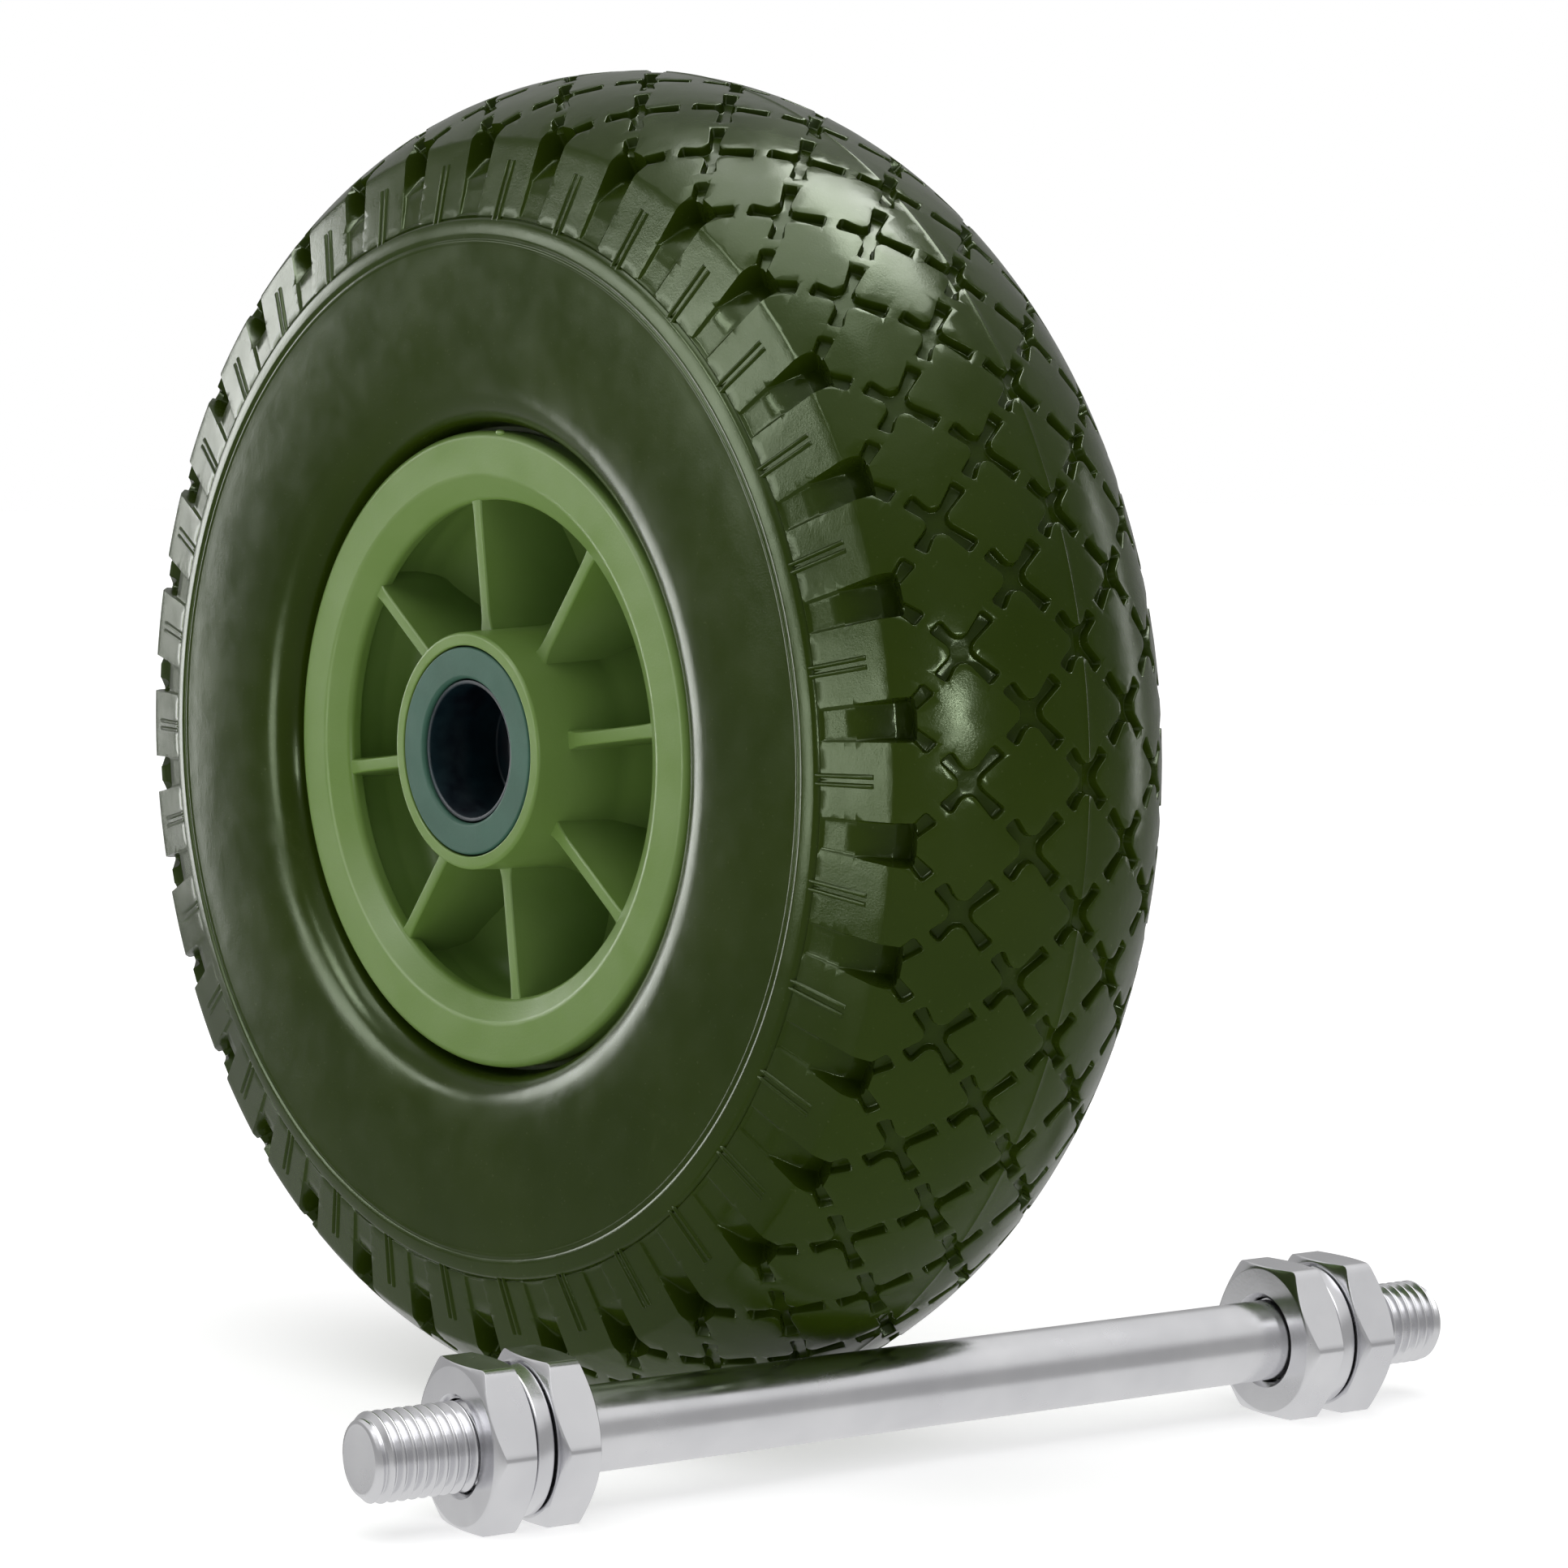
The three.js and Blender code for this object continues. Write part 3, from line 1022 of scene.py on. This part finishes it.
def makeFasteners():
    for end in ("near", "far"):
        for node, body, name, mesh in (
            ("inner_nut_", "_inner_nut", "inner_hex_nut_", nutMesh),
            ("spring_washer_", "_washer", "split_washer_", washerMesh),
            ("outer_nut_", "_outer_nut", "outer_hex_nut_", nutMesh),
        ):
            place = Matrix.Translation(middleOf(node + end)) @ axleTurn
            if "washer" in node:
                # a ring's own middle is on the rod, whatever its cut does to the box
                along = (middleOf(node + end) - axleMiddle).dot(axleAlong)
                place = Matrix.Translation(axleMiddle + axleAlong * along) @ axleTurn
            piece = makePiece(name + end, *mesh(), place)
            softenEdges(piece, 32)
            finishPiece(piece, zinc, end + body, "zinc_steel", node + end)


makeRod()
makeFasteners()


studio = {
    "floor": paint(246, 246, 246),
    "floorDarker": paint(240, 240, 240),
    "floorHalf": 14,  # metres
    "floorGlow": 0.55,
    "seenWorld": 1.0,
    "fill": 0.3,
    # what gloss sees, as (height, brightness) with 0 straight down and 1 straight up
    "glossSky": ((0, 0.8), (0.35, 0.75), (0.43, 0.42), (0.66, 0.4), (0.78, 0.75), (1, 0.85)),
    "sun": 1.25,
    "sunSpread": 70,
    "sunTilt": (12, 8),
    "lens": 101,
    "camera": (671.6, -536.9, 54.5),  # from the wheel's middle, in millimetres
    "looks": (-0.7553, 0.6515, -0.0705),
    "shiftY": -0.006,
    # direction from the wheel, distance, width and height in metres, and brightness of each soft lamp
    "lamps": {
        "leftSoft": ((-0.957, -0.29, 0.08), 1.4, 0.44, 0.7, 9.5),
        "upperLeftSoft": ((-0.69, -0.64, 0.34), 1.5, 0.3, 0.2, 14),
        "frontStripSoft": ((-0.505, -0.85, 0.25), 1.6, 0.5, 0.56, 16),
        "lowFrontSoft": ((-0.2, -0.977, -0.05), 0.6, 0.15, 0.16, 16),
        "beadSoft": ((-0.12, -0.78, 0.62), 1.5, 0.5, 0.4, 24),
        "overheadSoft": ((0.1, 0.3, 0.95), 1.3, 0.66, 0.5, 20),
        "wideOverheadSoft": ((0.05, -0.1, 1), 1.4, 0.9, 0.9, 7),
        "backSoft": ((0.2, 0.97, 0.12), 1.5, 0.2, 0.8, 4),
        "cameraSideSoft": ((0.93, -0.36, 0.10), 1.3, 0.09, 0.09, 210),
    },
}


def makeFloor():
    build = bmesh.new()
    bmesh.ops.create_grid(build, x_segments=8, y_segments=8, size=studio["floorHalf"])
    mesh = bpy.data.meshes.new("studio_floor")
    build.to_mesh(mesh)
    build.free()
    floor = bpy.data.objects.new("studio_floor", mesh)
    bpy.context.scene.collection.objects.link(floor)
    f = Finish("paleFloor")
    tone = f.ramp(f.noise(3, 2), (0.3, studio["floorDarker"]), (0.7, studio["floor"]))
    f.join(tone, f.shader.inputs["Base Color"])
    f.shader.inputs["Roughness"].default_value = 0.7
    f.shader.inputs["Emission Color"].default_value = (1, 1, 1, 1)
    f.shader.inputs["Emission Strength"].default_value = studio["floorGlow"]
    floor.visible_glossy = False
    floor.data.materials.append(f.material)


# a lamp that is seen only in the wheel's gloss; sun and sky give the even light
def softLamp(name, towards, distance, width, height, brightness, wheelPieces):
    light = bpy.data.lights.new(name, "AREA")
    light.shape = "RECTANGLE"
    light.size, light.size_y = width, height
    light.energy = brightness * math.pi * width * height
    lamp = bpy.data.objects.new(name, light)
    lamp.location = wheelMiddle + Vector(towards).normalized() * distance
    lamp.rotation_euler = (wheelMiddle - lamp.location).to_track_quat("-Z", "Y").to_euler()
    lamp.visible_camera = False
    lamp.visible_diffuse = False
    lamp.light_linking.receiver_collection = wheelPieces
    bpy.context.scene.collection.objects.link(lamp)


def makeWorld():
    world = bpy.data.worlds.new("softWhite")
    world.use_nodes = True
    tree = world.node_tree
    fill = tree.nodes["Background"]
    fill.inputs["Color"].default_value = (1, 1, 1, 1)
    fill.inputs["Strength"].default_value = studio["fill"]
    seen = tree.nodes.new("ShaderNodeBackground")
    seen.inputs["Color"].default_value = (1, 1, 1, 1)
    seen.inputs["Strength"].default_value = studio["seenWorld"]
    gloss = tree.nodes.new("ShaderNodeBackground")
    # the gloss sky is pale below and above, darker round the horizon
    way = tree.nodes.new("ShaderNodeTexCoord")
    split = tree.nodes.new("ShaderNodeSeparateXYZ")
    share = tree.nodes.new("ShaderNodeMapRange")
    share.inputs["From Min"].default_value = -1
    band = tree.nodes.new("ShaderNodeValToRGB")
    marks = band.color_ramp.elements
    while len(marks) < len(studio["glossSky"]):
        marks.new(0.5)
    for mark, (position, level) in zip(marks, studio["glossSky"]):
        mark.position = position
        mark.color = (level, level, level, 1)
    tree.links.new(way.outputs["Generated"], split.inputs["Vector"])
    tree.links.new(split.outputs["Z"], share.inputs["Value"])
    tree.links.new(share.outputs["Result"], band.inputs["Fac"])
    tree.links.new(band.outputs["Color"], gloss.inputs["Color"])
    # gloss sees its own sky, the camera plain white, and the rest the fill
    rays = tree.nodes.new("ShaderNodeLightPath")
    lit = tree.nodes.new("ShaderNodeMixShader")
    tree.links.new(rays.outputs["Is Glossy Ray"], lit.inputs["Fac"])
    tree.links.new(fill.outputs["Background"], lit.inputs[1])
    tree.links.new(gloss.outputs["Background"], lit.inputs[2])
    either = tree.nodes.new("ShaderNodeMixShader")
    tree.links.new(rays.outputs["Is Camera Ray"], either.inputs["Fac"])
    tree.links.new(lit.outputs["Shader"], either.inputs[1])
    tree.links.new(seen.outputs["Background"], either.inputs[2])
    tree.links.new(either.outputs["Shader"], tree.nodes["World Output"].inputs["Surface"])
    bpy.context.scene.world = world
    bpy.context.scene.view_settings.view_transform = "Standard"


def makeLamps():
    sun = bpy.data.lights.new("evenSun", "SUN")
    sun.energy = studio["sun"]
    sun.angle = math.radians(studio["sunSpread"])
    lamp = bpy.data.objects.new("evenSun", sun)
    lamp.rotation_euler = (*map(math.radians, studio["sunTilt"]), 0)
    bpy.context.scene.collection.objects.link(lamp)
    wheelPieces = bpy.data.collections.new("wheelPieces")
    for name in ("foam_tyre", "moulded_rim", "hub_bush_front", "hub_bush_rear", "hub_sleeve"):
        wheelPieces.objects.link(bpy.data.objects[name])
    for name, values in studio["lamps"].items():
        softLamp(name, *values, wheelPieces)


def makeCamera():
    data = bpy.data.cameras.new("camera")
    data.sensor_width = 36
    data.lens = studio["lens"]
    data.clip_start = 0.05
    data.shift_y = studio["shiftY"]
    camera = bpy.data.objects.new("camera", data)
    camera.location = wheelMiddle + Vector(studio["camera"]) * mm
    camera.rotation_euler = Vector(studio["looks"]).to_track_quat("-Z", "Y").to_euler()
    bpy.context.scene.collection.objects.link(camera)
    bpy.context.scene.camera = camera


makeFloor()
makeWorld()
makeLamps()
makeCamera()
print("floor, light and camera set")
